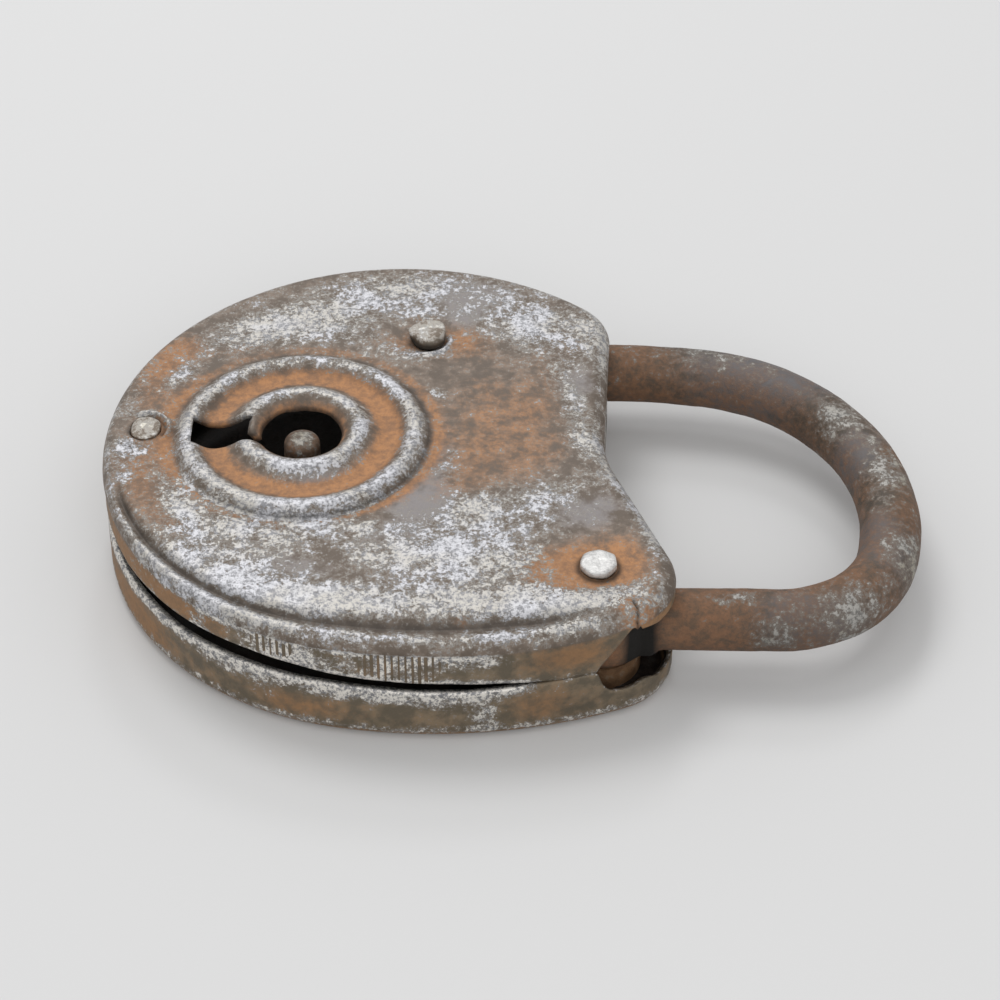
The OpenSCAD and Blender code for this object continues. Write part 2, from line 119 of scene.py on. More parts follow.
def spot(x, y, cx, cy, rx, ry, turn=0.0):
    """A soft round patch, one at its centre."""
    c, s = math.cos(math.radians(turn)), math.sin(math.radians(turn))
    u, v = (x - cx) * c + (y - cy) * s, -(x - cx) * s + (y - cy) * c
    return np.exp(-(u / rx) ** 2 - (v / ry) ** 2)


def patches(x, y, rows, grow=1.0):
    """Sum of soft patches. Each row: middle x, middle y, two half-widths, strength and, if any, turn in degrees."""
    total = np.zeros_like(x)
    for cx, cy, rx, ry, strength, *turn in rows:
        total += strength * spot(x, y, cx, cy, rx * grow, ry * grow, *turn)
    return total


def polar(x, y, c):
    """Distance and direction, in radians, of plan points from a centre."""
    dx, dy = x - c[0], y - c[1]
    return np.hypot(dx, dy), np.arctan2(dy, dx)


def rough_noise(pts, size, seed):
    """Fractal noise about zero at 3-D points, with features of the given size in mm."""
    off = Vector((seed * 17.3, seed * 5.7, seed * 11.1))
    falloff, finer, octaves = 0.8, 2.1, 3
    return np.array([noise.fractal(Vector(p) / size + off, falloff, finer, octaves) for p in pts])


def plan_noise(x, y, size, seed):
    return rough_noise(np.column_stack([x, y, np.zeros_like(x)]), size, seed)


def inside(pts, loop):
    """Which points lie inside a closed loop."""
    x, y = pts[:, 0], pts[:, 1]
    hit = np.zeros(len(pts), bool)
    for (x0, y0), (x1, y1) in zip(loop, np.roll(loop, -1, 0)):
        if y0 != y1:
            cross = (y0 > y) != (y1 > y)
            hit ^= cross & (x < (x1 - x0) * (y - y0) / (y1 - y0) + x0)
    return hit


def between(pts, loop, holes, gap):
    """The points inside a loop, outside its holes and clear of the points of both by a gap."""
    pts = pts[inside(pts, loop)]
    for hole in holes:
        pts = pts[~inside(pts, hole)]
    hit = np.zeros(len(pts), bool)
    for p in np.concatenate([loop] + holes):
        hit |= ((pts - p) ** 2).sum(1) < gap * gap
    return pts[~hit]


def staggered(x0, x1, dx, dy):
    """Rows of points over the whole depth of the case, every other row moved by half a step."""
    gx, gy = np.meshgrid(np.arange(x0, x1, dx), np.arange(-41, 41, dy))
    gx[1::2] += dx / 2
    return np.stack([gx.ravel(), gy.ravel()], 1)


def circles(c, r0, r1, step, gap):
    """Points on circles round c, every other circle turned by half a gap."""
    made = []
    for r in np.arange(r0, r1, step):
        n = int(2 * math.pi * r / gap)
        made.append(c + r * unit((np.arange(n) + 0.5 * (round(r / step) % 2)) / n * 360))
    return made


def make(name, verts, faces, body, replaces, masks, material):
    """A piece from points in millimetres, riding on a CAD body in place of CAD nodes, with its masks of wear and
    painted shade.
    """
    mesh = bpy.data.meshes.new(name)
    points = [tuple(v) for v in np.asarray(verts, float) * MM]
    mesh.from_pydata(points, [], [tuple(int(i) for i in f) for f in faces])
    mesh.validate()
    for key, values in masks.items():
        layer = mesh.attributes.new(key, "FLOAT", "POINT")
        layer.data.foreach_set("value", np.full(len(verts), values, np.float32))
    mesh.polygons.foreach_set("use_smooth", [True] * len(mesh.polygons))
    obj = bpy.data.objects.new(name, mesh)
    bpy.context.scene.collection.objects.link(obj)
    mesh.materials.append(material)
    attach(obj, body)
    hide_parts(*replaces)
    return obj


def grid_faces(rows, cols, flip=False):
    """Quads between rows of points, each row a closed loop."""
    made = []
    for r in range(rows - 1):
        for c in range(cols):
            d = (c + 1) % cols
            q = (r * cols + c, r * cols + d, (r + 1) * cols + d, (r + 1) * cols + c)
            made.append(q[::-1] if flip else q)
    return made


def closed_tube(verts, n, ends):
    """Points and faces of a tube made of rings of n points, with a fan to an end point at each end."""
    base, last = len(verts), len(verts) - n
    faces = grid_faces(base // n, n)
    faces += [(base, (k + 1) % n, k) for k in range(n)]
    faces += [(base + 1, last + k, last + (k + 1) % n) for k in range(n)]
    return np.concatenate([verts, ends]), faces


def fill(loop, holes, points):
    """Plan points and triangles that fill a loop, without its holes. The loop's own points come first."""
    loops = [loop] + list(holes)
    edges, at = [], 0
    for ring in loops:
        edges += [(at + i, at + (i + 1) % len(ring)) for i in range(len(ring))]
        at += len(ring)
    coords = [Vector(p) for p in np.concatenate(loops + [points])]
    got = delaunay_2d_cdt(coords, edges, [], 0, 1e-7)
    pts = np.array([tuple(v) for v in got[0]])
    tris = np.array([t for t in got[2] if len(t) == 3])
    mid = pts[tris].mean(1)
    keep = inside(mid, loop)
    for hole in holes:
        keep &= ~inside(mid, hole)
    return pts, tris[keep]


def wobble(a, scale, seed):
    """Noise along a circle, at directions in radians."""
    return np.array([noise.noise(Vector((math.cos(t) * scale, math.sin(t) * scale, seed))) for t in a])


def circle(c, r, n, uneven=0.0, seed=0):
    a = np.arange(n) / n * 360
    return c + (r + uneven * wobble(np.radians(a), 1.7, seed * 3.1))[:, None] * unit(a)


# Outlines of the hammered heads: direction in degrees and radius
SIDE_HEAD = [(0, 2.45), (40, 2.8), (80, 2.45), (130, 2.3), (175, 2.7), (210, 2.2), (235, 1.85), (262, 2.25),
             (288, 2.1), (315, 2.0), (340, 2.3)]
SIDE_FOOT = [(0, 2.5), (60, 2.5), (120, 2.5), (165, 2.6), (210, 2.15), (270, 2.55), (313, 2.7)]
TAIL_HEAD = [(0, 1.95), (45, 2.25), (90, 2.4), (135, 2.2), (180, 1.95), (210, 2.2), (250, 2.35), (310, 2.1)]


def radius_at(table, a):
    """Radius of an outline in direction a, in degrees."""
    angles, radii = zip(*table)
    return np.interp(np.mod(a, 360), [*angles, 360], [*radii, radii[0]])


def loop_of(c, table, n, grow):
    a = np.arange(n) / n * 360
    return c + (radius_at(table, a) + grow)[:, None] * unit(a)


# ---------------------------------------------------------------- the face's pressed relief
# Height of the keyhole's two rings over the face, by distance from the keyhole's centre
RING_R = [0, 5.1, 5.5, 6.1, 6.8, 7.6, 8.5, 9.4, 10.4, 11.6, 12.8, 13.7, 14.5, 15.3, 16.0, 16.6, 17.1, 17.7, 18.5,
          20, 60]
RING_H = [-0.9, -0.9, -0.2, .75, 1.32, 1.55, 1.38, .72, .08, -.2, -.1, .35, .92, 1.12, .95, .5, .1, -.12, -.06,
          0, 0]
DENTS = [
    (12, -6, 9, 14, -.18), (-20, 27, 12, 6, -.15, 20), (2, -24, 14, 7, .12), (-8, -22, 7, 5, -.14),
    (20, 12, 6, 8, -.12), (12, 27, 9, 5, .1),
]


def softened(r, h, step=0.05, blur=0.3, reach=16):
    """A table of heights by distance, in fine steps and with its corners rounded off."""
    fine = np.arange(0, r[-1], step)
    v = np.interp(fine, r, h)
    k = np.exp(-(np.arange(-reach, reach + 1) * step / blur) ** 2)
    pad = np.concatenate([np.full(reach, v[0]), v, np.full(reach, v[-1])])
    return fine, np.convolve(pad, k / k.sum(), "valid")


RINGS = softened(RING_R, RING_H)


def tail_lip(a):
    """Where the torn sheet stands up round the tail rivet, by direction."""
    return smooth(np.cos(a - 0.75), 0.1, 0.45)


def tail_ripple(x, y):
    """Ripples of the smeared metal beside the tail rivet."""
    return np.sin(5.5 * (y + 0.5 * x))


def face_height(x, y):
    """Height of the front face's top surface at plan points."""
    r, a = polar(x, y, KEY)
    z = FACE_Z + np.interp(r, *RINGS)
    # The outer ring's foot is crisper towards the near side and the shackle
    z -= 0.16 * (0.5 + 0.5 * np.cos(a + 0.9)) * ridge(r, 17.4, 0.45)
    # The face bulges slightly and is dented
    z += 0.22 * (1 - ((x + 2) ** 2 + y ** 2) / 1500) + patches(x, y, DENTS)
    # A dip round the hinge rivet, a burr and a dip at the side rivet, torn and smeared metal at the tail rivet
    z -= 0.28 * ridge(polar(x, y, PIVOT)[0], 3.4, 1.5)
    r, a = polar(x, y, SIDE)
    z += 0.4 * ridge(r, 3.2, 0.4) * smooth(np.cos(a + .8), 0.1, 0.8) - 0.45 * ridge(r, 0, 3.6)
    r, a = polar(x, y, TAIL)
    z += tail_lip(a) * (0.75 * ridge(r, 3.2, 0.3) - 0.2 * ridge(r, 2.6, 0.25))
    return z + spot(x, y, -38.3, -2.4, 2.8, 1.4, -25) * (0.22 + 0.16 * tail_ripple(x, y))


def relief_noise(x, y):
    return 0.05 * plan_noise(x, y, 5.0, 1) + 0.02 * plan_noise(x, y, 1.3, 2)


# ---------------------------------------------------------------- edges of the shells
# How far in from the outline each row of the front's edge lies, and its drop with a groove and with a plain round
INSETS = np.array([4.8, 4.4, 4.0, 3.65, 3.3, 3.0, 2.7, 2.4, 2.1, 1.8, 1.5, 1.2, .95, .7, .48, .28, .12, 0.02])
GROOVE = np.array([0, .04, .14, .34, .66, .95, 1.16, 1.2, 1.08, .93, .85, .86, .93, 1.06, 1.28, 1.6, 2.0, 2.5])
ROUND_R = 2.5
ROUND = ROUND_R - np.sqrt(np.maximum(0, ROUND_R ** 2 - np.maximum(0, ROUND_R - INSETS) ** 2))
EDGE_WIDTH = ([0, 195, 215, 240, 262, 290, 305, 360], [1, .62, .7, .9, 1.22, 1.3, 1.05, 1])   # by direction
WALL_ROWS = 16
# Levels of the two rims by x, and round the hinge's lobe by direction from the hinge rivet in degrees
FRONT_RIM = ([-43, -36, -30, -25, -20, -14, -9, -5, 0, 6, 12, 16, 19.7, 24, 60],
             [10.5, 10.7, 10.95, 11.15, 11.2, 10.95, 10.4, 10.1, 9.9, 9.75, 9.4, 9.0, 8.66, 8.62, 8.62])
FRONT_HINGE = ([-180, -91, -88.5, -64, -61, -58.2, -57.4, -54, -40, -20, 6, 13, 18, 22, 180],
               [0, 0, 9.4, 15.0, 15.5, 15.75, 14.1, 14.0, 13.5, 13.3, 13.2, 12.8, 11.5, 0, 0])
BACK_RIM = ([-43, -30, -20, -10, 0, 8, 18, 60], [8.2, 8.3, 8.6, 8.6, 8.25, 8.1, 8.5, 8.5])
BACK_HINGE = ([-180, -92, -89, -86, -80, -70, -60, -52, -44, -38, -8, 8, 16, 22, 180],
              [9, 9, 8.0, 6.0, 4.8, 4.45, 4.55, 4.9, 4.6, 4.0, 3.6, 3.7, 4.6, 9, 9])


def rim_level(p, rim, hinge, up):
    """Level of a wall's rim at points of the outline, cut back round both legs, upwards (1) or downwards (-1)."""
    further = np.maximum if up > 0 else np.minimum
    z = np.interp(p[:, 0], *rim)
    r, a = polar(*p.T, PIVOT)
    z = np.where(r < NEAR_R + 1.5, further(z, np.interp(np.degrees(a), *hinge)), z)
    # The free leg's opening is round, and drawn out towards the far side
    d = p[:, 1] - TOE_Y
    d = np.where(d > 0, np.maximum(0, d - 1.6), d)
    half = np.sqrt(np.maximum(0, 4.85 ** 2 - d ** 2)) * (p[:, 0] > 17) * (p[:, 1] > 14)
    return np.where(half > 0.01, further(z, WIRE_Z + up * half), z)


def wall_grid(p, out, levels, mean, seed, rim, flat=1.0):
    """Rows of points of a wall, pushed in from the outline in slight waves, and further at its rim."""
    z = levels[..., None]
    pts = np.concatenate([np.broadcast_to(p, (len(levels), *p.shape)), z], -1)
    waves = rough_noise(pts.reshape(-1, 3), 7.0, seed).reshape(levels.shape)
    push = (np.clip(mean + 0.07 * waves, 0.02, 0.3) + rim) * flat
    return np.concatenate([p - out * push[..., None], z], -1)


def sheet(name, verts, faces, replaces, masks):
    """A shell from its outer skin, thickened inwards, with a dark inside."""
    obj = make(name, verts, faces, "case", replaces, masks, SHELL)
    obj.data.materials.append(INSIDE)
    thick = obj.modifiers.new("sheet", "SOLIDIFY")
    thick.thickness, thick.offset = SHEET_T * MM, -1
    thick.use_rim, thick.use_even_offset = True, False
    thick.material_offset = 1


# ---------------------------------------------------------------- wear and painted shade of the front shell
WEAR_GROW = 1.15
SILVER = [
    (-18.5, 24.5, 7, 3.2, 0.55, 20), (-26, 22, 6, 4, 0.22, 35), (-3, 32, 8, 4.5, 0.42, 5),
    (2, 27.5, 3.2, 1.6, 0.35), (-12, 31, 10, 4, 0.2, 15), (15.5, 25, 6, 4.2, 0.48, -20),
    (10, 33, 8, 3, 0.22, -18), (24, 22, 3, 7, 0.3, 10), (21.5, 8, 1.8, 8, 0.42, 12), (23, -2, 2, 5, 0.3, 25),
    (-12, 24, 5, 2.5, 0.2, 10), (-7, 20, 5, 3, 0.22, -20), (0, -33, 22, 3.4, 0.5, 1),
    (-18, -30, 9, 3.4, 0.46, -25), (2.5, -24, 9, 3.4, 0.5), (12, -17, 9, 4.5, 0.36, 10),
    (6.5, -14.5, 4, 2.2, 0.3, 30), (-22, -20, 8, 5, 0.38, -20), (-12, -18.5, 9, 2, 0.34),
    (-31, -13.5, 2, 6.5, 0.42, 28), (-34, -22, 2.2, 6, 0.2, 38), (-27.5, -27, 3, 6, 0.4, 48),
    (14, -27, 8, 5, 0.3, 5), (21, -33, 8, 2.4, 0.44, 12), (18, -11.5, 6, 2.5, 0.34, 15),
    (29, -12, 1.8, 8, 0.24, 22), (31.5, -22, 1.7, 7, 0.34, -5), (26, -30.5, 5, 1.6, 0.4, 25),
    (-33, 12.5, 1.3, 3.2, 0.5, -35), (-38.8, -7.5, 1.6, 4, 0.3, 12), (-38.6, 9, 1.5, 5, 0.22, -12),
    (2.7, 9.2, 1.5, 0.9, 0.42, -35), (3.8, -7, 2.2, 2.4, 0.32), (5, -3.2, 1, 1, 0.25),
    (-38.2, -3, 2.2, 1.6, 0.4), (-36.6, 4.4, 3, 1, 0.22), (1, 18.2, 3.2, 1, 0.35, 10), (-9, -32, 9, 2, 0.15),
    (25, -26, 7, 5, -0.4), (13, 2, 10, 12, -0.08), (29.5, -33.5, 2.5, 2.5, -0.08), (13, 24, 5, 4, 0.16),
    (19, 16, 3, 4, 0.15), (26, 22, 2.5, 6, 0.12), (-4, -22, 12, 4, 0.08),
]
ORANGE = [
    (12, 3, 8, 13, 0.32, -12), (6, -8, 5, 5, 0.18), (-35, 6, 4, 10, 0.34), (-35.5, -10, 3.4, 7, 0.36, 25),
    (-30, -18, 5, 4, 0.26), (23.4, -27, 5.4, 4.2, 0.84), (17, -27, 3.5, 3.5, 0.45), (28, -31, 3, 3, 0.3),
    (-1, 20.5, 6.5, 3, 0.34), (6, 22, 4, 3, 0.3, -30), (0.5, 26.8, 3, 1.2, 0.34), (-36, 15, 3, 5, 0.24, -30),
    (-24, 19.5, 8, 1.6, 0.26, 22), (19, 15, 3, 4, 0.18), (22, 22, 4, 3, 0.14), (-17.5, -19.8, 1.4, 0.8, 0.4),
    (7, -36, 1.2, 1, 0.5), (18, -1, 4, 6, 0.06), (-33, 20, 2.4, 3, 0.32, -40), (29.5, -33, 2.4, 2.8, 0.5),
    (28, -22.5, 3.4, 3.4, 0.2),
]
BLUE = [
    (5.5, 28, 3.5, 4, 0.6), (22, 12, 3, 5, 0.5), (2.5, -4, 3.4, 9, 0.45), (23, -15, 6, 4, 0.5, 20),
    (8, 33, 8, 3.4, 0.4, -10), (1, -15, 5, 4, 0.5), (-16, -26, 9, 3, 0.45, -15), (-3, -21, 5, 2.4, 0.35),
    (24, 30, 4, 4, 0.3), (-22, 14.8, 5, 1.5, 0.25, 30),
]
WALL_SILVER = [
    (10, 13.2, 5, 1.3, 0.6), (-12, 12.2, 6, 1.4, 0.6), (-26.5, 12, 1.4, 1.8, 0.55), (-35, 13, 3, 3, 0.2),
    (-0.4, 12.6, 5.6, 2.4, 0.66), (-17, 13, 5, 2, 0.5), (3, 14.8, 9, 1, 0.34), (-24, 14.5, 4, 1, 0.3),
    (20, 12.6, 6, 2.4, -0.25),
]
WALL_ORANGE = [(21, 12.5, 5, 2.4, .5), (-36, 13, 5, 4, .5), (-28, 13, 6, 2.5, .4), (-1, 12.4, 4, 1.7, .3)]


def face_masks(x, y):
    """Bare metal, orange rust, blue-grey skin and shade for plan points of the face."""
    r, a = polar(x, y, KEY)
    near = -np.sin(a)
    away = 1 - smooth(r, 15, 19)
    silver, orange, blue = (patches(x, y, rows, WEAR_GROW) * (1 - k * away)
                            for rows, k in ((SILVER, 1), (ORANGE, 0.8), (BLUE, 1)))
    # The rings: bare crests, a rusty valley, a rusty lip at the keyhole
    crest = ridge(r, 15.35, 1.5) * (0.6 + 0.1 * np.cos(a + 1.4)) + ridge(r, 7.9, 1.35) * (0.6 - 0.05 * np.sin(a))
    lip = ridge(r, 5.7, 0.7)
    near_slope = ridge(r, 10.2, 1.6) * smooth(near, 0.55, 0.95) * smooth(x - KEY[0], -6, 2)
    valley = ridge(r, 12, 1.75)
    silver += crest + 0.26 * near_slope + 0.4 * ridge(r, 17.5, .35) * smooth(near, .2, .8)
    silver -= 0.3 * valley + 0.55 * lip
    orange += 0.95 * valley * (0.86 + 0.14 * np.cos(a + .35)) + 0.4 * lip
    orange += 0.52 * ridge(r, 18.3, 1.1) * (0.8 + 0.2 * near)
    blue += 0.5 * near_slope
    # Painted shade at the outer ring's foot, deeper on one side, on the outer ring's inner slope and down the
    # keyhole's edge
    shade = 0.75 * ridge(r, 17.25, .5) * (0.35 + 0.65 * smooth(np.cos(a + .8), -.2, .8))
    shade += 0.25 * ridge(r, 13.6, .5) + 0.8 * smooth(-r, -5.9, -5.3)
    # Painted shade in the gaps round the rivets, partly dark crust at the hinge rivet; bare burrs at the side and
    # tail rivets
    shade += 0.9 * ridge(polar(x, y, PIVOT)[0], 2.6, .45)
    r, a = polar(x, y, SIDE)
    shade += 0.6 * ridge(r, 2.5, .4)
    silver += 0.5 * ridge(r, 3.2, .4) * smooth(np.cos(a + .8), 0.2, 0.8)
    r, a = polar(x, y, TAIL)
    shade += 0.55 * ridge(r, 2.3, .28) + tail_lip(a) * (0.6 * ridge(r, 2.62, .2) + 0.35 * ridge(r, 3.75, .18))
    silver += 0.45 * tail_lip(a) * ridge(r, 3.2, .3)
    # Painted shade in the troughs of the smeared metal's ripples beside the tail rivet
    shade += 0.5 * spot(x, y, -38.3, -2.6, 2.4, 1.2, -25) * smooth(tail_ripple(x, y), -0.2, -0.9)
    return silver, orange, blue, shade


def wall_masks(x, y, z, deep, az):
    """The same four masks on the front shell's wall. deep goes from nought at the face to one at the rim."""
    near = smooth(az, 240, 262) * (1 - smooth(az, 292, 300))
    tab = smooth(x, 27.5, 29.5) * (1 - smooth(y, -33, -27))   # beside the hinge
    silver = 0.62 * ridge(deep, 0, .2) * (0.5 + .5 * smooth(az, 200, 235)) * (1 - smooth(az, 280, 294))
    silver += ridge(deep, 1, .14) * (0.3 + 0.6 * near) - 0.18 - .15 * tab + patches(x, z, WALL_SILVER)
    orange = 0.1 + .5 * tab + patches(x, z, WALL_ORANGE)
    return silver, orange, 0.0, 0.12 + 0.2 * spot(x, z, 20, 12.5, 7, 3)


def front_masks(verts, n_face, cols, groove, az):
    """Wear and painted shade of the front shell: its face first, then the rows of its edge and wall."""
    plan = verts[:, :2].T
    silver, orange, blue, shade = masks = face_masks(*plan)
    strip = slice(n_face, None)
    x, y, z = verts[strip].T
    edge_n = len(INSETS)
    row = np.repeat(np.arange(1, edge_n + WALL_ROWS), cols)
    col = np.tile(np.arange(cols), edge_n + WALL_ROWS - 1)
    inset = INSETS[np.minimum(row, edge_n - 1)]
    deep = np.maximum(0, row - edge_n + 1) / WALL_ROWS
    on_edge, grooved = row < edge_n, groove[col]
    # The groove gets painted shade, and the bead outside it is rubbed bare
    dip = ridge(inset, 2.75, .55) * on_edge * grooved
    bead = ridge(inset, 1.05, .7) * on_edge
    silver[strip] *= 1 - dip
    silver[strip] += bead * (grooved * (0.36 + .1 * np.sin(x * .7)) + (1 - grooved) * 0.18)
    orange[strip] *= 1 - .6 * dip
    shade[strip] += 0.75 * dip
    for mask, on_wall in zip(masks, wall_masks(x, y, z, deep, az[col])):
        mask[strip] = np.where(deep > 0, on_wall, mask[strip])
    # Painted shade in the torn split
    shade += 0.9 * split_at(*plan)
    wall, marks = np.zeros(len(verts)), np.zeros(len(verts))
    wall[strip] = smooth(deep, 0, .12)
    # Two rows of file marks on the near wall
    rows = spot(x, z, -.4, 12.9, 4.6, 2.6) ** 0.6 + 0.7 * spot(x, z, -17, 13.2, 4.5, 2)
    marks[strip] = (deep > 0) * (y < 0) * rows
    return dict(bare=silver, rust=orange, blue=blue, shade=shade, wall=wall, marks=marks)


# ---------------------------------------------------------------- front shell
SPLIT_DROP = 0.55


def split_at(x, y):
    """A short split in the hinge lobe's edge, where the sheet has torn: one in its middle, nought away from it."""
    a, b = np.array([28.6, -32.0]), np.array([30.2, -35.8])
    d = (b - a) / np.linalg.norm(b - a)
    along = (x - a[0]) * d[0] + (y - a[1]) * d[1]
    across = (x - a[0]) * -d[1] + (y - a[1]) * d[0] - 0.25 * np.sin(along * 1.6)
    return ridge(across, 0, 0.2) * smooth(along, -0.3, 0.4)


def keyhole_loop():
    """The keyhole's edge: a round part, a narrow neck and a wider slot, slightly worn."""
    slot_end, neck_end = -30.0, KEY[0] - HOLE_R - 1.2
    slot_low, slot_top, neck_top = 3.1, 2.4, 0.7   # distances from the keyhole's axis
    low, top, neck = KEY[1] - slot_low, KEY[1] + slot_top, KEY[1] - neck_top
    a_low = math.degrees(math.asin(-slot_low / HOLE_R))
    a_neck = math.degrees(math.asin(-neck_top / HOLE_R))
    ring = KEY + HOLE_R * unit(np.linspace(180 - a_neck, -180 - a_low, 96))
    corners = [ring[-1], [slot_end, low], [slot_end, top], [neck_end, top], [neck_end, neck], ring[0]]
    path = [ring]
    for p, q in zip(corners[:-1], corners[1:]):
        p, q = np.array(p, float), np.array(q, float)
        n = max(2, int(np.linalg.norm(q - p) / 0.35))
        path.append(p + (q - p) * (np.arange(1, n + 1) / n)[:, None])
    loop = np.concatenate(path)[:-1]
    keep = [0] + [i for i in range(1, len(loop)) if np.linalg.norm(loop[i] - loop[i - 1]) > 0.05]
    loop = loop[keep]
    worn = [[noise.noise(Vector((x * .6, y * .6, seed))) for seed in (1.5, 7.5)] for x, y in loop]
    return loop + 0.12 * np.array(worn)


def face_points(loop, holes):
    """Points spread over the face: circles round the keyhole and the rivets, an even spread elsewhere."""
    pts = circles(KEY, 5.8, 19.3, 0.42, 0.5)
    step = 0.52
    even = staggered(-43, 36, step, step * 0.866)
    x, y = even.T
    even = even + 0.1 * np.sin(np.stack([y * 7.1 + x * 3.3, x * 5.9 - y * 4.1], 1))
    even = even[polar(*even.T, KEY)[0] > 19.45]
    for c in (PIVOT, SIDE, TAIL):
        even = even[polar(*even.T, c)[0] > 4.6]
        pts += circles(c, 2.35, 4.5, 0.24, 0.3)
    return between(np.concatenate(pts + [even]), loop, holes, 0.2)


def front_shell():
    p, out = outline(0.42)
    cols = len(p)
    az = np.degrees(polar(*p.T, BODY)[1]) % 360
    # The groove runs along the near side and fades at both of its ends
    groove = smooth(az, 190, 204) * (1 - smooth(az, 296, 312))
    width = np.interp(az, *EDGE_WIDTH)
    edge = []
    for inset, plain, grooved in zip(INSETS, ROUND, GROOVE):
        x, y = (p - out * (inset * width)[:, None]).T
        drop = plain * (1 - groove) + grooved * groove
        z = face_height(x, y) + relief_noise(x, y) * (inset / INSETS[0]) - drop
        edge.append(np.column_stack([x, y, z]))
    top = edge[-1][:, 2]
    low = np.minimum(rim_level(p, FRONT_RIM, FRONT_HINGE, 1), top - 0.15)
    frac = np.arange(1, WALL_ROWS + 1)[:, None] / WALL_ROWS
    # The leaf springs bow close to the waist's wall, so that stays nearly flat
    flat = 1 - 0.8 * spot(p[:, 0], p[:, 1], 26, -2.4, 2, 6)
    wall = wall_grid(p, out, top + (low - top) * frac, 0.10, 3, 0.12 * ridge(frac, 1, 0.1), flat)
    strip = np.concatenate([edge, wall]).reshape(-1, 3)
    strip[:, 2] -= SPLIT_DROP * split_at(strip[:, 0], strip[:, 1])

    loop = edge[0][:, :2]
    holes = [keyhole_loop(), circle(PIVOT, 2.2, 40, 0.12, 1), circle(SIDE, 2.15, 40, 0.12, 2),
             loop_of(TAIL, TAIL_HEAD, 48, 0.12)]
    xy, tris = fill(loop, holes, face_points(loop, holes))
    assert np.abs(xy[:cols] - loop).max() < 1e-4   # the face and its edge share these points
    x, y = xy.T
    z = face_height(x, y) + relief_noise(x, y) - SPLIT_DROP * split_at(x, y)
    z[:cols] = strip[:cols, 2]
    verts = np.concatenate([np.column_stack([x, y, z]), strip[cols:]])
    extra = len(xy) - cols
    faces = [tuple(t) for t in tris]
    for q in grid_faces(len(INSETS) + WALL_ROWS, cols, flip=True):
        faces.append(tuple(i if i < cols else i + extra for i in q))
    sheet("front_shell_worn", verts, faces, ["front_shell"],
          front_masks(verts, len(xy), cols, groove, az))


# ---------------------------------------------------------------- back shell
BACK_SILVER = [
    (10, 4.2, 2.2, 2.4, 0.66), (4.5, 6, 3.4, 1.2, 0.5), (-6, 6.8, 12, 1, 0.5), (-24, 6.5, 4, 1.4, 0.4),
    (-18, 5, 2, 2, 0.3),
]
BACK_ORANGE = [(-36, 4, 6, 4, .5), (-14, 4, 6, 2, .4), (17, 5, 4, 3, .34)]
FOOT_Z = 1.9   # where the back's wall turns into its rounded edge


def back_shell():
    p, out = outline(0.5)
    cols = len(p)
    high = np.maximum(rim_level(p, BACK_RIM, BACK_HINGE, -1), 2.4)
    frac = np.arange(WALL_ROWS)[:, None] / WALL_ROWS
    levels = FOOT_Z + (high - FOOT_Z) * (1 - frac)
    wall = wall_grid(p, out, levels, 0.08, 5, 0.16 * ridge(frac, 0, 0.07))
    edge = []
    for t in np.radians(range(0, 91, 15)):
        z = np.full(cols, FOOT_Z - 1.88 * math.sin(t))
        edge.append(np.column_stack([p - out * (0.05 + 1.85 * (1 - math.cos(t))), z]))
    strip = np.concatenate([wall, edge])
    last = (len(strip) - 1) * cols

    loop = strip[-1][:, :2]
    holes = [circle(c, 2.03, 28) for c in (PIVOT, SIDE, TAIL)]
    holes += [circle(KEY, 2.53, 28), circle(LEVER_POST, 1.78, 24)] + [circle(c, 1.53, 24) for c in GUIDE_POSTS]
    xy, tris = fill(loop, holes, between(staggered(-42, 36, 1.5, 1.3), loop, holes, 0.7))
    z = 0.02 + 0.14 * smooth(plan_noise(*xy.T, 9.0, 6), 0.0, 0.8)
    z[:cols] = strip[-1][:, 2]
    verts = np.concatenate([np.column_stack([xy, z]), strip[:-1].reshape(-1, 3)])
    faces = [tuple(t[::-1]) for t in tris]
    for q in grid_faces(len(strip), cols, flip=True):
        faces.append(tuple(len(xy) + i if i < last else i - last for i in q))

    x, y, z = verts.T
    on_wall = np.arange(len(verts)) >= len(xy)
    deep = np.concatenate([np.zeros(len(xy)), np.repeat(np.arange(len(strip) - 1), cols) / WALL_ROWS])
    silver = 0.95 * ridge(deep, 0, .2) * (1 - smooth(x, 12, 20) * (y < 0)) + .5 * ridge(z, 1.6, .9)
    silver += patches(x, z, BACK_SILVER) + 0.4 * ridge(deep, 0, .06) * (x > 20) - .2
    orange = .1 + patches(x, z, BACK_ORANGE) + .45 * ridge(z, .8, .5)
    masks = dict(bare=np.where(on_wall, silver, 0.1), rust=np.where(on_wall, orange, 0.3), blue=0.0,
                 shade=0.15 + 0.15 * on_wall * spot(x, z, 21, 4, 7, 4), wall=on_wall)
    sheet("back_shell_worn", verts, faces, ["back_shell"], masks)


# ---------------------------------------------------------------- shackle
HEEL_X, BEND_X, TOE_X = -6.0, 23.6, 7.05   # the first two from the hinge rivet
HEEL_HALF, HEEL_R = 3.8, 6.78              # half the flattened heel's thickness, and its radius in plan
BEND_TURNS, BEND_RADII = [74, 58, 38, 10], [15.4, None, 26.9, 75]


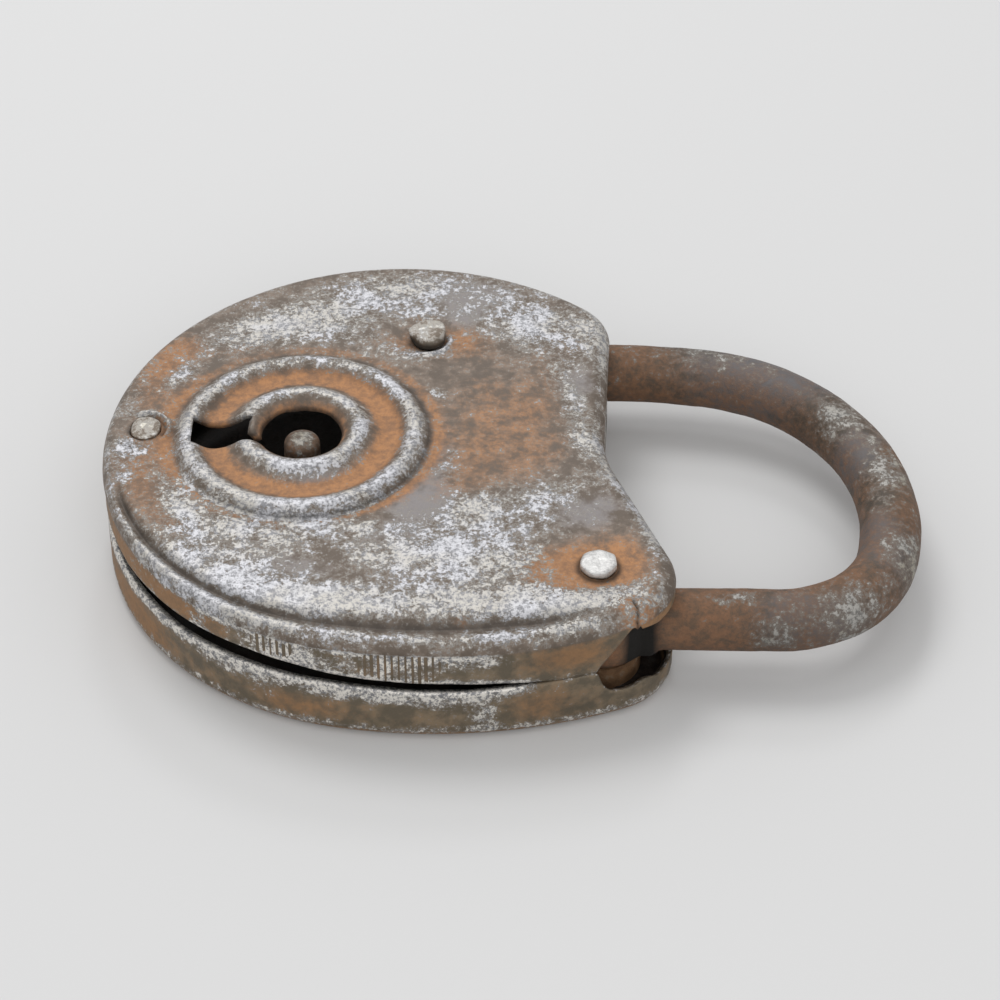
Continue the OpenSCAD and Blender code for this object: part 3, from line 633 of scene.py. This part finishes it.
def bow_path(step):
    """Centre line of the shackle from the hinge rivet round to the free tip: points, directions in degrees."""
    def outwards(a):
        return np.array([math.sin(math.radians(a)), -math.cos(math.radians(a))])

    heads = [sum(BEND_TURNS[:i]) for i in range(5)]
    rise = [math.cos(math.radians(a)) - math.cos(math.radians(b)) for a, b in zip(heads[:-1], heads[1:])]
    # The second bend's radius brings the free leg to its place
    radii = list(BEND_RADII)
    radii[1] = (TOE_Y - PIVOT[1] - sum(radii[i] * rise[i] for i in (0, 2, 3))) / rise[1]
    n = int((BEND_X - HEEL_X) / step)
    pts = [PIVOT + np.array([HEEL_X + (BEND_X - HEEL_X) * i / n, 0]) for i in range(n)]
    head = [0.0] * n
    at = PIVOT + np.array([BEND_X, 0])
    for r, start, turn in zip(radii, heads, BEND_TURNS):
        c = at - r * outwards(start)
        n = int(r * math.radians(turn) / step)
        for a in [start + turn * k / n for k in range(n)]:
            pts.append(c + r * outwards(a))
            head.append(a)
        at = c + r * outwards(start + turn)
    n = int((at[0] - TOE_X) / step)
    pts += [np.array([at[0] - (at[0] - TOE_X) * k / n, at[1]]) for k in range(n + 1)]
    head += [180.0] * (n + 1)
    return np.array(pts), np.array(head)


SHACKLE_SILVER = [
    (46, 25, 9, 3, 0.24), (36, 29, 2.5, 2, 0.42), (40, 27, 2, 1.5, 0.35), (58, 11, 3.4, 4, 0.42),
    (63, 1, 3.4, 4, 0.4), (63, -6, 2, 2.4, 0.3), (47, -31, 3.4, 1.8, 0.6), (42, -26, 5, 1.2, 0.3),
    (58, -27, 5, 3.4, 0.42), (66, -16, 3, 4, 0.34), (35, -26, 7, 6, -0.2),
]
SHACKLE_ORANGE = [
    (36, -26, 9, 6, .4), (28, 27, 6, 5, .4), (65, 3, 1.4, 2, 1.1), (55, -22, 6, 5, .3), (66, -9, 3, 6, .3),
]
SHACKLE_BLUE = [(50, 22, 11, 6, .7), (54, -28, 9, 5, .6), (62, -14, 5, 6, .5), (60, 4, 4, 5, .5)]
SHACKLE_DARK = [(50, -31, 9, 2.4, .4), (38, 27, 6, 2, .35), (54, 14, 4, 6, .35), (66, -10, 3, 3, .3)]


def shackle():
    pts, head = bow_path(0.5)
    n = 56
    t = np.arange(n) / n * 2 * math.pi
    dirs = unit(head)
    rings = []
    for i, (p, d) in enumerate(zip(pts, dirs)):
        x = p[0] - PIVOT[0]
        half_w = half_h = WIRE_R - 0.02
        flat = 0.0
        if head[i] == 0 and x < 8.6:
            half_h = HEEL_HALF + (half_h - HEEL_HALF) * float(smooth(x, 6.9, 8.6))
            half_w = max(half_w, math.sqrt(max(0.0, HEEL_R ** 2 - x * x)))
            flat = 1 - float(smooth(x, 6.9, 8.4))
        # The heel is flattened to a rounded box section, and both ends are rounded off
        power = 1 - 0.62 * flat
        c, s = (np.sign(v) * np.abs(v) ** power for v in (np.cos(t), np.sin(t)))
        if i == 0:
            c, s = c * 0.6, s * 0.9
        if head[i] == 180 and p[0] < 7.6:
            k = 1 - 0.12 * (7.6 - p[0])
            c, s = c * k, s * k
        # d turned to the right points to the outer side of the bow
        rings.append(np.column_stack([p[0] + d[1] * half_w * c, p[1] - d[0] * half_w * c, WIRE_Z + half_h * s]))
    verts = np.concatenate(rings)
    # Slight waves of a forged and worn bar, inwards only
    centre = np.repeat(np.column_stack([pts, np.full(len(pts), WIRE_Z)]), n, 0)
    wave = np.clip(0.06 + 0.09 * rough_noise(verts, 6.0, 8), 0.0, 0.25)
    wave = wave + np.clip(0.03 * rough_noise(verts, 1.1, 9), 0, .06)
    away = verts - centre
    verts = verts - away / np.maximum(np.linalg.norm(away, axis=1), 1e-6)[:, None] * wave[:, None]
    # The free tip is trimmed to the arc on which it swings, and notched for the bolt
    d = verts[:, :2] - PIVOT
    far = np.linalg.norm(d, axis=1)
    trim = TOE_Y - PIVOT[1] + WIRE_R
    out = (far > trim) & (verts[:, 1] > 20) & (verts[:, 0] < PIVOT[0])
    verts[out, :2] = PIVOT + d[out] * (trim / far[out])[:, None]
    floor_y = TOE_Y + 0.1
    x, y, _ = verts.T
    verts[(x > 10.4) & (x < 16.6) & (y > 15) & (y < floor_y), 1] = floor_y
    verts, faces = closed_tube(verts, n, [[*pts[0], WIRE_Z], [*pts[-1], WIRE_Z]])

    x, y, z = verts.T
    up = (z - WIRE_Z) / WIRE_R
    outer = np.append(np.tile(np.cos(t), len(pts)), [0, 0])
    # More bare metal along the bar's top, partly a painted highlight; further down, the underside gets painted
    # shade
    silver = -0.1 + 0.14 * up + 0.1 * outer * smooth(x, 44, 60) + patches(x, y, SHACKLE_SILVER)
    # A painted shadow on the near leg where it enters the case, and a rusty heel that is also painted lighter, as
    # painted light on it
    reach = polar(x, y, PIVOT)[0]
    gap = smooth(x, 26.9, 29.3) * (1 - smooth(reach, 7.4, 9.8)) * (1 - smooth(y, PIVOT[1] - 4, PIVOT[1] - 1))
    heel = (1 - smooth(x, 27.4, 28.4)) * (1 - smooth(reach, 6.8, 7.2))
    orange = 0.26 + .1 * (1 - up) + 0.5 * heel + patches(x, y, SHACKLE_ORANGE)
    shade = 0.2 - 0.1 * up + 1.2 * gap - 0.2 * heel + 0.6 * patches(x, y, SHACKLE_DARK)
    masks = dict(bare=silver, rust=orange, blue=.14 + patches(x, y, SHACKLE_BLUE), shade=shade, wall=0.0)
    make("shackle_worn", verts, faces, "shackle", ["shackle"], masks, BAR)


# ---------------------------------------------------------------- rivets and pin
def turned(name, centre, profile, replaces, material, n, warp, masks):
    """A turned piece from (radius, level) pairs, from its lowest point to its top, then warped."""
    rows = [np.column_stack([centre + r * unit(np.arange(n) / n * 360), np.full(n, z)]) for r, z in profile]
    verts = warp(np.concatenate(rows))
    verts, faces = closed_tube(verts, n, [verts[:n].mean(0), verts[-n:].mean(0)])
    make(name, verts, faces, "case", replaces, masks(verts), material)


def head_rows(z0, z1):
    """Profile of a rivet: a shank from the back face, and a head between two levels with a worn edge."""
    s, r = SHANK_R, HEAD_R
    rows = [(0.5, 0.06), (1.3, 0.04), (s - 0.35, 0.03), (s - 0.08, 0.2), (s - 0.02, 0.8), (s - .02, z0 - .6)]
    rows += [(s - 0.02, z0 - 0.05), (r - 0.3, z0), (r - 0.05, z0 + 0.1), (r, z0 + 0.3 * (z1 - z0))]
    rows += [(r, z1 - 0.32), (r - 0.07, z1 - 0.17), (r - 0.22, z1 - 0.06), (r - 0.5, z1 - 0.02)]
    return rows + [(r * k, z1 - 0.01) for k in (0.66, 0.5, 0.33, 0.15)]


def head_masks(bare, rust, blue=0.0):
    """Wear of a rivet whose top has one even wear, and whose rusty sides are darkened with painted shade."""
    def masks(v):
        top = v[:, 2] > FACE_Z + 0.2
        return dict(bare=np.where(top, bare, 0.1), rust=np.where(top, rust, .5), blue=np.where(top, blue, 0),
                    shade=np.where(top, 0.0, .6), wall=0.0)
    return masks


def side_masks(v):
    """Wear and painted shade of the side rivet: its slanting top is bare, its tall sides are painted black with
    painted shade.
    """
    level = v[:, 2] + 0.12 * (1 - (v[:, 1] - SIDE[1]) / HEAD_R)
    top = smooth(level, 18.38, 18.5)
    return dict(bare=.36 * top - .1, rust=.3 - .2 * top, blue=0.0, shade=1 - top, wall=1 - top)


def pin_masks(v):
    return dict(bare=.12 + .25 * smooth(v[:, 2], 16.6, 17.0), rust=.42, blue=0.0, shade=.22, wall=0.0)


def dented(v):
    """The hinge rivet's head: flats of the hammer round its edge, dents in its top, and a slight slope."""
    seed, slope_turn = 4.0, 1.6
    d = v[:, :2] - PIVOT
    r, a = polar(*v[:, :2].T, PIVOT)
    head = v[:, 2] > FACE_Z - .2
    shrink = 0.01 + 0.05 * np.abs(np.sin(3.5 * a + seed)) + 0.05 * (0.3 + wobble(a, 1.6, seed))
    v[head, :2] = PIVOT + d[head] * (1 - shrink.clip(0.0, .4) * np.clip(r / 2, 0, 1))[head, None]
    top = v[:, 2] > v[:, 2].max() - 0.3
    v[top, 2] -= np.clip(0.08 + 0.12 * plan_noise(v[:, 0], v[:, 1], 1.6, seed)[top], 0, .3)
    slope = (d[:, 0] * math.cos(slope_turn) + d[:, 1] * math.sin(slope_turn)) / HEAD_R
    v[head, 2] -= np.clip(0.1 * (0.5 + 0.5 * slope[head]), 0, None)
    return v


def hammered(c, head, foot, z_foot, z_top, seed, slope):
    """Gives a head the outline of its foot and of its flat, dented and slightly sloping top."""
    def warp(v):
        d = v[:, :2] - c
        a = np.degrees(np.arctan2(d[:, 1], d[:, 0]))
        up = smooth(v[:, 2], z_foot, z_top)
        k = ((1 - up) * radius_at(foot, a) + up * radius_at(head, a)) / HEAD_R
        on = v[:, 2] > z_foot - 0.2
        v[on, :2] = c + d[on] * k[on, None]
        drop = np.clip(0.1 + 0.16 * plan_noise(v[:, 0], v[:, 1], 1.5, seed), 0, .34)
        drop += np.clip(slope * (1 - d[:, 1] / HEAD_R), 0, 1)
        v[:, 2] -= drop * smooth(v[:, 2], z_top - 0.7, z_top - 0.15)
        return v
    return warp


PIN_ROWS = [(0.6, 0.05), (1.8, 0.03), (2.3, 0.1), (2.45, 0.4), (2.46, 6), (2.46, 12), (2.46, 15.2), (2.44, 15.7),
            (2.36, 16.1), (2.18, 16.4), (1.85, 16.65), (1.4, 16.83), (.9, 16.94), (.4, 16.99)]


def rivets():
    turned("pivot_rivet_worn", PIVOT, head_rows(FACE_Z - 0.12, 18.48), ["pivot_rivet"], RIVET, 48,
           dented, head_masks(1.1, 0.0, .8))
    foot, top = FACE_Z + 0.3, 19.26
    turned("side_rivet_worn", SIDE, head_rows(FACE_Z + 0.1, top), ["side_rivet"], RIVET, 72,
           hammered(SIDE, SIDE_HEAD, SIDE_FOOT, foot, top, 9.0, 0.12), side_masks)
    foot, top = FACE_Z - 0.5, 17.9
    turned("tail_rivet_worn", TAIL, head_rows(foot, top), ["tail_rivet"], RIVET, 72,
           hammered(TAIL, TAIL_HEAD, TAIL_HEAD, foot, top, 6.0, 0.03), head_masks(.24, .12))
    turned("drill_pin_worn", KEY, PIN_ROWS, ["drill_pin"], BAR, 48, lambda v: v, pin_masks)


# ---------------------------------------------------------------- materials
class Tree:
    """Short ways to build a node material."""

    def __init__(self, name):
        self.mat = bpy.data.materials.new(name)
        self.mat.use_nodes = True
        self.nodes, self.links = self.mat.node_tree.nodes, self.mat.node_tree.links
        self.nodes.clear()
        out = self.nodes.new("ShaderNodeOutputMaterial")
        self.shader = self.nodes.new("ShaderNodeBsdfPrincipled")
        self.links.new(self.shader.outputs[0], out.inputs["Surface"])
        self.at = self.nodes.new("ShaderNodeTexCoord").outputs["Object"]

    def feed(self, socket, value):
        """Links a socket, or sets it to a number or a colour."""
        if isinstance(value, bpy.types.NodeSocket):
            self.links.new(value, socket)
        else:
            socket.default_value = (*value, 1) if isinstance(value, tuple) else value

    def math(self, op, a, b=0.0, clamp=False):
        n = self.nodes.new("ShaderNodeMath")
        n.operation, n.use_clamp = op, clamp
        self.feed(n.inputs[0], a)
        self.feed(n.inputs[1], b)
        return n.outputs[0]

    def add(self, *terms):
        total = terms[0]
        for term in terms[1:]:
            total = self.math("ADD", total, term)
        return total

    def mul(self, a, b):
        return self.math("MULTIPLY", a, b)

    def swing(self, value, by):
        """A noise moved to lie about zero, and scaled."""
        return self.mul(self.add(value, -0.5), by)

    def noise(self, size_mm, detail, rough, stretch=(1, 1, 1)):
        m = self.nodes.new("ShaderNodeMapping")
        self.links.new(self.at, m.inputs["Vector"])
        m.inputs["Scale"].default_value = stretch
        n = self.nodes.new("ShaderNodeTexNoise")
        self.links.new(m.outputs[0], n.inputs["Vector"])
        n.inputs["Scale"].default_value = 1 / (size_mm * MM)
        n.inputs["Detail"].default_value = detail
        n.inputs["Roughness"].default_value = rough
        return n.outputs["Fac"]

    def comb(self, pitch_mm):
        """Even waves along X."""
        n = self.nodes.new("ShaderNodeSeparateXYZ")
        self.links.new(self.at, n.inputs[0])
        return self.math("SINE", self.mul(n.outputs[0], 2 * math.pi / (pitch_mm * MM)))

    def step(self, value, low, high):
        n = self.nodes.new("ShaderNodeMapRange")
        n.interpolation_type = "SMOOTHSTEP"
        self.feed(n.inputs["Value"], value)
        n.inputs["From Min"].default_value, n.inputs["From Max"].default_value = low, high
        return n.outputs[0]

    def attr(self, name):
        n = self.nodes.new("ShaderNodeAttribute")
        n.attribute_name = name
        return n.outputs["Fac"]

    def mix(self, fac, a, b):
        """A mix of two colours."""
        n = self.nodes.new("ShaderNodeMix")
        n.data_type = "RGBA"
        for k, value in ((0, fac), (6, a), (7, b)):
            self.feed(n.inputs[k], value)
        return n.outputs[2]

    def blend(self, fac, a, b):
        """A mix of two numbers."""
        n = self.nodes.new("ShaderNodeMix")
        n.data_type = "FLOAT"
        for k, value in ((0, fac), (2, a), (3, b)):
            self.feed(n.inputs[k], value)
        return n.outputs[0]

    def bump(self, height, depth_mm):
        n = self.nodes.new("ShaderNodeBump")
        n.inputs["Distance"].default_value = depth_mm * MM
        self.links.new(height, n.inputs["Height"])
        return n.outputs[0]

    def surface(self, **sockets):
        for name, value in sockets.items():
            self.links.new(value, self.shader.inputs[name.replace("_", " ")])


def srgb(r, g, b):
    """A colour from its screen values, 0 to 255."""
    return tuple(((v / 255 + 0.055) / 1.055) ** 2.4 if v > 10 else v / 255 / 12.92 for v in (r, g, b))


def times(colour, by):
    """A colour multiplied by a number, or by a number for each channel."""
    return tuple(float(v) for v in np.multiply(colour, by))


CREAM = (0.9, 0.86, 0.76)
WALL_RUST = srgb(132, 104, 72)
FILE_PITCH = 0.86


def worn_metal(name, colours, speckle=1.0, shine=0.36, fine=0.42, dull=0.4):
    """Steel whose dark skin has worn through to bare metal in speckled patches, with rust between.

    colours are screen values: skin, dark skin, bare metal, thin skin, rust, dark rust, blue-grey skin, and the
    wall's skin and dark skin. speckle is how far the grain breaks up bare metal, shine its least roughness, fine
    the grain's size in mm, and dull the brightness of its darker flecks.
    """
    skin, skin_dark, bare, thin, rust, rust_dark, blue, wall, wall_dark = (srgb(*c) for c in colours)
    t = Tree(name)
    k_bare, k_rust, k_blue, k_shade, k_wall, k_marks = (
        t.attr(n) for n in ("bare", "rust", "blue", "shade", "wall", "marks"))
    # File marks run up the wall, so their noises are drawn out along Z
    ends = t.step(t.add(k_marks, t.mul(t.noise(1.5, 2.0, 0.5, (1, 0, 0.4)), 0.8)), 0.78, 0.95)
    jitter = t.swing(t.noise(1.6, 1.0, 0.5, (1, 0, 0.02)), 2.6)
    lines = t.mul(ends, t.step(t.add(t.comb(FILE_PITCH), jitter), 0.25, 0.6))
    k_bare = t.add(k_bare, t.mul(lines, -1.1))
    grain = t.noise(fine, 4.0, 0.75)
    blotch = t.noise(2.3, 6.0, 0.64)
    cloud = t.noise(9.0, 3.0, 0.5)
    grit = t.noise(0.9, 5.0, 0.72)
    # Base skin
    mottle = t.step(blotch, 0.38, 0.66)
    base = t.mix(mottle, skin_dark, skin)
    base = t.mix(t.step(t.add(k_blue, t.swing(blotch, 0.9)), 0.18, 0.5), base, blue)
    base = t.mix(k_wall, base, t.mix(mottle, wall_dark, wall))
    # Rust
    warm = t.mix(t.step(t.add(t.mul(blotch, .4), t.mul(grit, .6)), 0.38, 0.62), rust_dark, rust)
    warm = t.mix(t.mul(k_wall, 0.6), warm, WALL_RUST)
    rusty = t.step(t.add(k_rust, t.swing(blotch, 0.65), t.swing(grit, 0.5), t.swing(cloud, .4)), 0.06, 0.58)
    colour = t.mix(rusty, base, warm)
    # Bare metal in fine speckle: first the skin gets thin, then flecks of metal shine
    k = t.add(k_bare, t.swing(grain, 1.5 * speckle), t.swing(blotch, 1.35), t.swing(grit, 1.2))
    colour = t.mix(t.mul(t.step(k, 0.12, 0.27), 0.9), colour, thin)
    shiny = t.step(k, 0.3, 0.44)
    fleck = t.noise(0.5, 4.0, 0.8)
    cool = t.step(t.add(cloud, t.mul(k_blue, 0.3)), 0.46, 0.6)
    cream = times(bare, CREAM)
    pale = t.mix(k_wall, t.mix(cool, cream, bare), times(cream, 1.65))
    bright = t.mix(t.step(t.add(fleck, t.swing(grit, 0.6)), 0.4, 0.58), times(bare, dull), pale)
    colour = t.mix(shiny, colour, bright)
    colour = t.mix(t.mul(lines, 0.6), colour, times(wall, 0.5))
    # Pits, and painted shade where the shade mask is high
    pits = t.step(t.add(grain, t.mul(grit, .5)), 0.50, 0.62)
    colour = t.mix(t.mul(t.math("SUBTRACT", 1.0, pits), 0.30), colour, times(skin_dark, 0.3))
    colour = t.mix(t.math("MULTIPLY", k_shade, 0.9, True), colour, times(skin_dark, 0.1))
    rough = t.blend(shiny, t.blend(rusty, 0.52, 0.78), t.blend(fleck, shine - 0.1, shine + 0.34))
    height = t.add(t.mul(shiny, 0.35), t.mul(grain, 0.6), t.mul(grit, 0.7), t.mul(blotch, 0.9),
                   t.mul(fleck, 0.5), t.mul(lines, -1.0))
    t.surface(Base_Color=colour, Metallic=t.blend(shiny, t.blend(rusty, 0.3, 0.05), 0.62),
              Roughness=t.blend(t.step(k_shade, 0.6, 1.0), rough, 0.95), Normal=t.bump(height, 0.09))
    return t.mat


SHELL = worn_metal("worn_shell_steel", [
    (126, 112, 100), (94, 83, 73), (197, 197, 201), (134, 128, 121), (174, 126, 85), (138, 103, 76),
    (128, 123, 122), (134, 118, 96), (100, 90, 74)])
BAR = worn_metal("worn_bar_steel", [
    (103, 93, 83), (72, 64, 55), (176, 173, 168), (116, 108, 100), (130, 93, 66), (95, 75, 58), (98, 95, 96),
    (104, 94, 84), (84, 74, 64)], speckle=0.6, shine=0.44, fine=0.5)
RIVET = worn_metal("worn_rivet_steel", [
    (140, 132, 122), (112, 101, 89), (208, 207, 205), (170, 165, 158), (146, 112, 84), (110, 86, 68),
    (146, 144, 142), (116, 106, 92), (88, 79, 66)], speckle=0.4, shine=0.32, dull=0.72)
INNER = worn_metal("dull_inner_steel", [
    (52, 46, 40), (34, 30, 27), (96, 92, 86), (70, 66, 60), (70, 50, 38), (50, 37, 29), (52, 50, 48),
    (50, 45, 40), (36, 32, 28)], speckle=0.6, shine=0.5)
INSIDE = worn_metal("dark_inside_steel", [
    (40, 34, 28), (24, 21, 18), (70, 66, 60), (50, 46, 42), (58, 42, 30), (38, 28, 22), (40, 38, 36),
    (40, 34, 28), (26, 22, 19)], speckle=0.3, shine=0.6)
# Heel collars: the bar's rusty steel painted lighter and browner, as painted light on them inside the shaded case
PAINTED_LIGHT_COLLAR = worn_metal("rusty_collar_steel_painted_lighter", [
    (150, 116, 86), (118, 90, 66), (170, 150, 130), (150, 126, 104), (158, 112, 76), (122, 86, 60),
    (128, 112, 98), (150, 116, 86), (118, 90, 66)], speckle=0.4, shine=0.6)

front_shell()
back_shell()
shackle()
rivets()

for node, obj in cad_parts.items():
    if not obj.hide_render:
        obj.data.materials.clear()
        obj.data.materials.append(PAINTED_LIGHT_COLLAR if node.startswith("heel_collar") else INNER)

# ---------------------------------------------------------------- floor, light and camera, in metres
scene = bpy.context.scene
scene.view_settings.view_transform = "Standard"

pale_floor = bpy.data.materials.new("pale_floor")
pale_floor.use_nodes = True
sockets = pale_floor.node_tree.nodes["Principled BSDF"].inputs
sockets["Base Color"].default_value = (*srgb(205, 205, 205), 1)
sockets["Roughness"].default_value = 0.9
sockets["Specular IOR Level"].default_value = 0.1

HALF, BELOW = 3, -1e-5
mesh = bpy.data.meshes.new("floor")
mesh.from_pydata([(x, y, BELOW) for x, y in ((-HALF, -HALF), (HALF, -HALF), (HALF, HALF), (-HALF, HALF))],
                 [], [(0, 1, 2, 3)])
mesh.materials.append(pale_floor)
floor = bpy.data.objects.new("floor", mesh)
scene.collection.objects.link(floor)

world = bpy.data.worlds.new("studio")
scene.world = world
world.use_nodes = True
background = world.node_tree.nodes["Background"].inputs
background["Color"].default_value = (1, 1, 1, 1)
background["Strength"].default_value = 0.77


def aimed(obj, at, target):
    """Puts a lamp or camera at a place, turned towards a target."""
    obj.location = at
    obj.rotation_euler = (Vector(target) - Vector(at)).to_track_quat("-Z", "Y").to_euler()
    scene.collection.objects.link(obj)
    return obj


def lamp(name, at, size, watts, colour=(1, 1, 1)):
    data = bpy.data.lights.new(name, "AREA")
    data.shape, data.size, data.energy, data.color = "DISK", size, watts, colour
    aimed(bpy.data.objects.new(name, data), at, (0.01, 0, 0.01))


lamp("key_light", (-0.22, 0.32, 0.72), 0.36, 2.0)
lamp("back_sheen", (0.0, 0.5, 0.5), 0.14, 0.5, (0.97, 0.98, 1.0))
lamp("front_fill", (0.1, -0.6, 0.45), 0.5, 1.3)

camera_data = bpy.data.cameras.new("camera")
camera_data.lens, camera_data.sensor_width = 105.84, 36
camera_data.clip_start, camera_data.clip_end = 0.02, 10
camera = bpy.data.objects.new("camera", camera_data)
scene.camera = aimed(camera, (0.01601, -0.30656, 0.26808), (0.0115, -0.00243, 0.0083))
